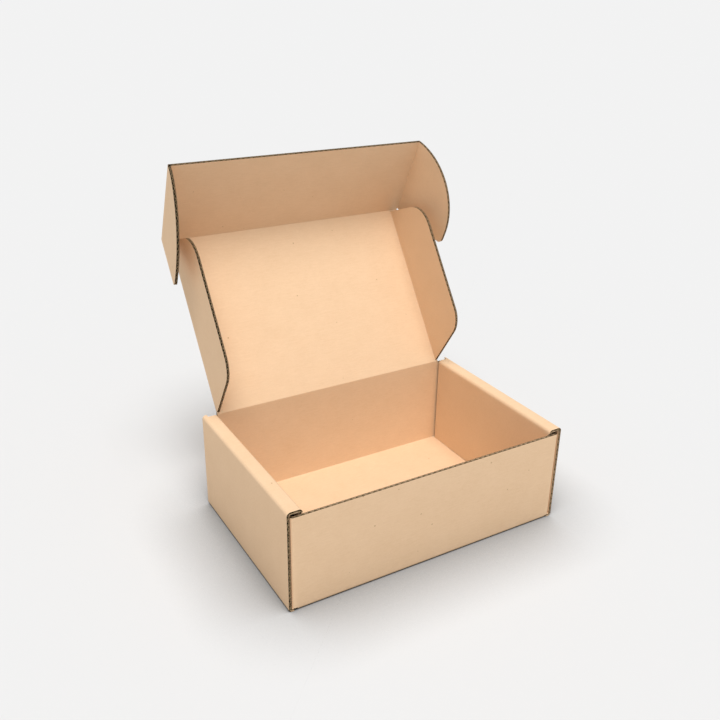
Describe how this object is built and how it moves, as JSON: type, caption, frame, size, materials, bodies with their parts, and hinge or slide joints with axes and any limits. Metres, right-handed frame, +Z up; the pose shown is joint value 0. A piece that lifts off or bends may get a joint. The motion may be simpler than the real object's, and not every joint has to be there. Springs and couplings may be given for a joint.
{
  "type": "corrugated mailer box",
  "caption": "Folded kraft corrugated mailer box with rolled side walls, shown open: hinged lid, front tuck flap with rounded ears, and dust flaps.",
  "frame": {"origin": "middle of the tray's underside, in the plane that it stands on", "axes": "+X to the right seen from the front wall, +Y from the front wall to the back wall and the lid's hinge, +Z up"},
  "size_m": [0.32, 0.3045, 0.3463],
  "materials": {
    "kraft_board": "matt kraft liners over an open fluted middle"
  },
  "bodies": {
    "tray": {"tray": "kraft_board"},
    "lid_panel": {"lid_panel": "kraft_board"},
    "front_flap": {"front_flap": "kraft_board"},
    "left_dust_flap": {"left_dust_flap": "kraft_board"},
    "right_dust_flap": {"right_dust_flap": "kraft_board"},
    "left_ear": {"left_ear": "kraft_board"},
    "right_ear": {"right_ear": "kraft_board"}
  },
  "joints": [
    {"name": "lid_fold", "type": "hinge", "parent": "tray", "child": "lid_panel", "pos_m": [0, 0.0966, 0.1041], "axis": [-1, 0, 0], "range_deg": [-92, 55]},
    {"name": "front_flap_fold", "type": "hinge", "parent": "lid_panel", "child": "front_flap", "pos_m": [0, 0.20512, 0.25908], "axis": [-1, 0, 0], "range_deg": [-39.5, 60.5]},
    {"name": "left_dust_flap_fold", "type": "hinge", "parent": "lid_panel", "child": "left_dust_flap", "pos_m": [-0.1357, 0.0966, 0.1041], "axis": [0, 0.5736, 0.8192], "range_deg": [0, 30]},
    {"name": "right_dust_flap_fold", "type": "hinge", "parent": "lid_panel", "child": "right_dust_flap", "pos_m": [0.1357, 0.0966, 0.1041], "axis": [0, -0.5736, -0.8192], "range_deg": [0, 30]},
    {"name": "left_ear_fold", "type": "hinge", "parent": "front_flap", "child": "left_ear", "pos_m": [-0.145, 0.20512, 0.25908], "axis": [0, 0.4305, -0.9026], "range_deg": [-10, 80]},
    {"name": "right_ear_fold", "type": "hinge", "parent": "front_flap", "child": "right_ear", "pos_m": [0.145, 0.20512, 0.25908], "axis": [0, -0.4305, 0.9026], "range_deg": [-10, 80]}
  ]
}
